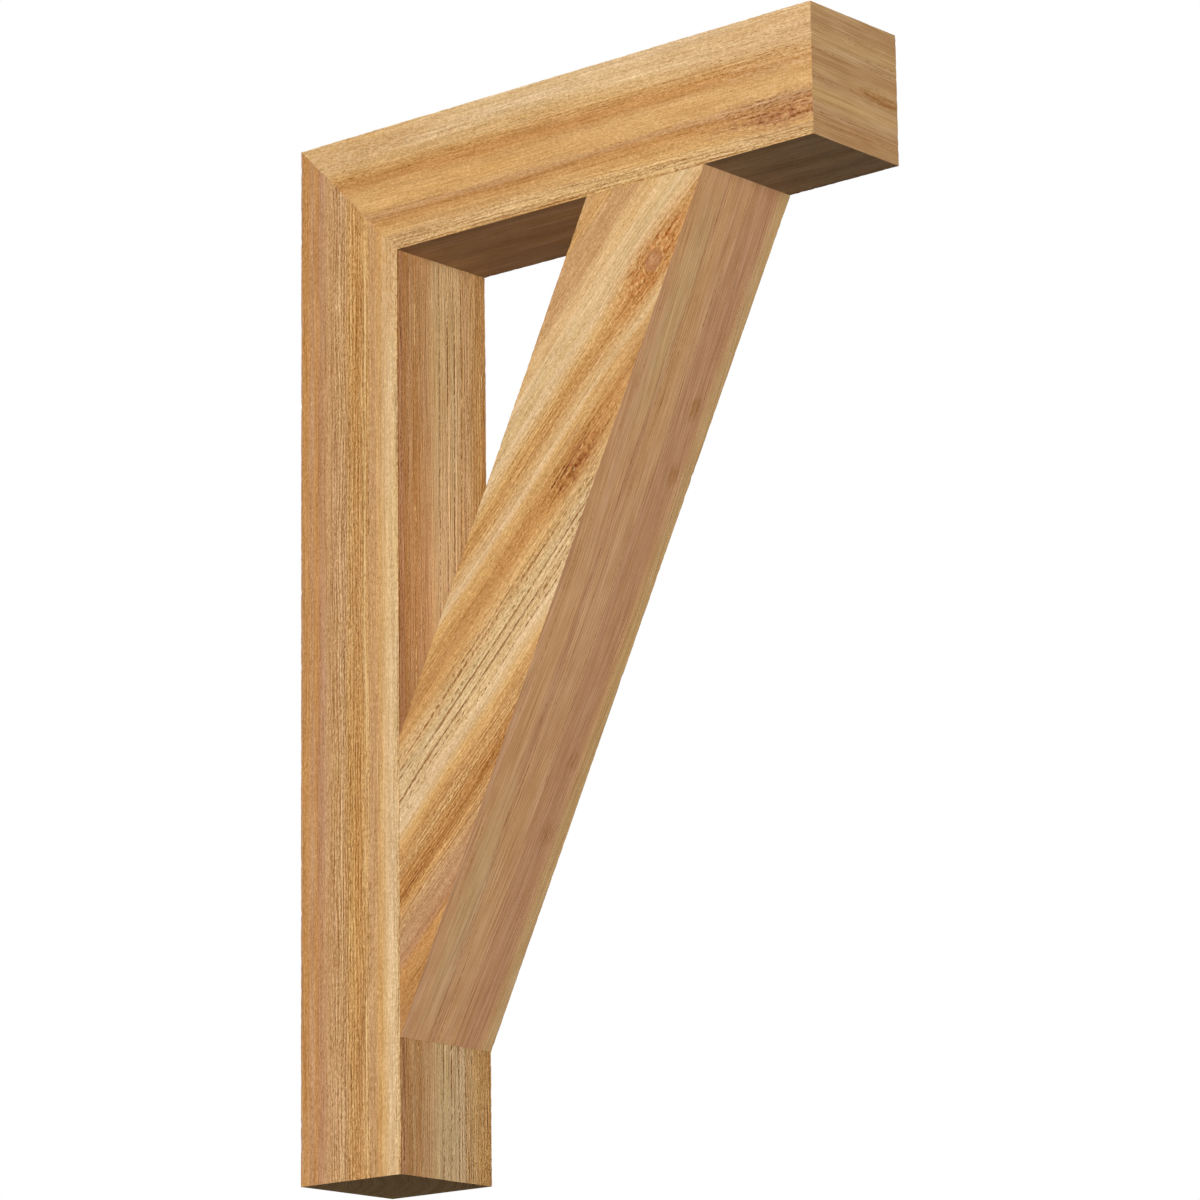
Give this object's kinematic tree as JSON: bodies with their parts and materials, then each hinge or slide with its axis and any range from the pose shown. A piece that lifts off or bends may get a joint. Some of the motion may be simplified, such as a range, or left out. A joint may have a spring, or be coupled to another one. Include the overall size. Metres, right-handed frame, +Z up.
{
  "type": "wooden bracket",
  "caption": "Triangular timber bracket: square post against the wall, beam mitred to its head and a sloping brace cut flush between them.",
  "frame": {"origin": "where the wall face and the top face meet, at the middle of the bracket's width", "axes": "+X out from the wall along the beam, +Y across the bracket, +Z up the wall"},
  "size_m": [0.508, 0.1016, 0.8128],
  "materials": {
    "cedar": "rough-sawn on the long sides, surfaced on the brace's lower face, unfinished",
    "screw_coating": "satin, bronze-coloured weatherproof coating",
    "dowel_wood": "turned beech, fluted"
  },
  "bodies": {
    "root": {"post": "cedar", "beam": "cedar", "brace": "cedar", "corner_back_screw_1": "screw_coating", "corner_back_screw_2": "screw_coating", "corner_top_screw_1": "screw_coating", "brace_head_screw_1": "screw_coating", "brace_head_screw_2": "screw_coating", "brace_foot_screw_1": "screw_coating", "brace_foot_screw_2": "screw_coating", "mitre_dowel_1": "dowel_wood", "mitre_dowel_2": "dowel_wood"}
  },
  "joints": []
}
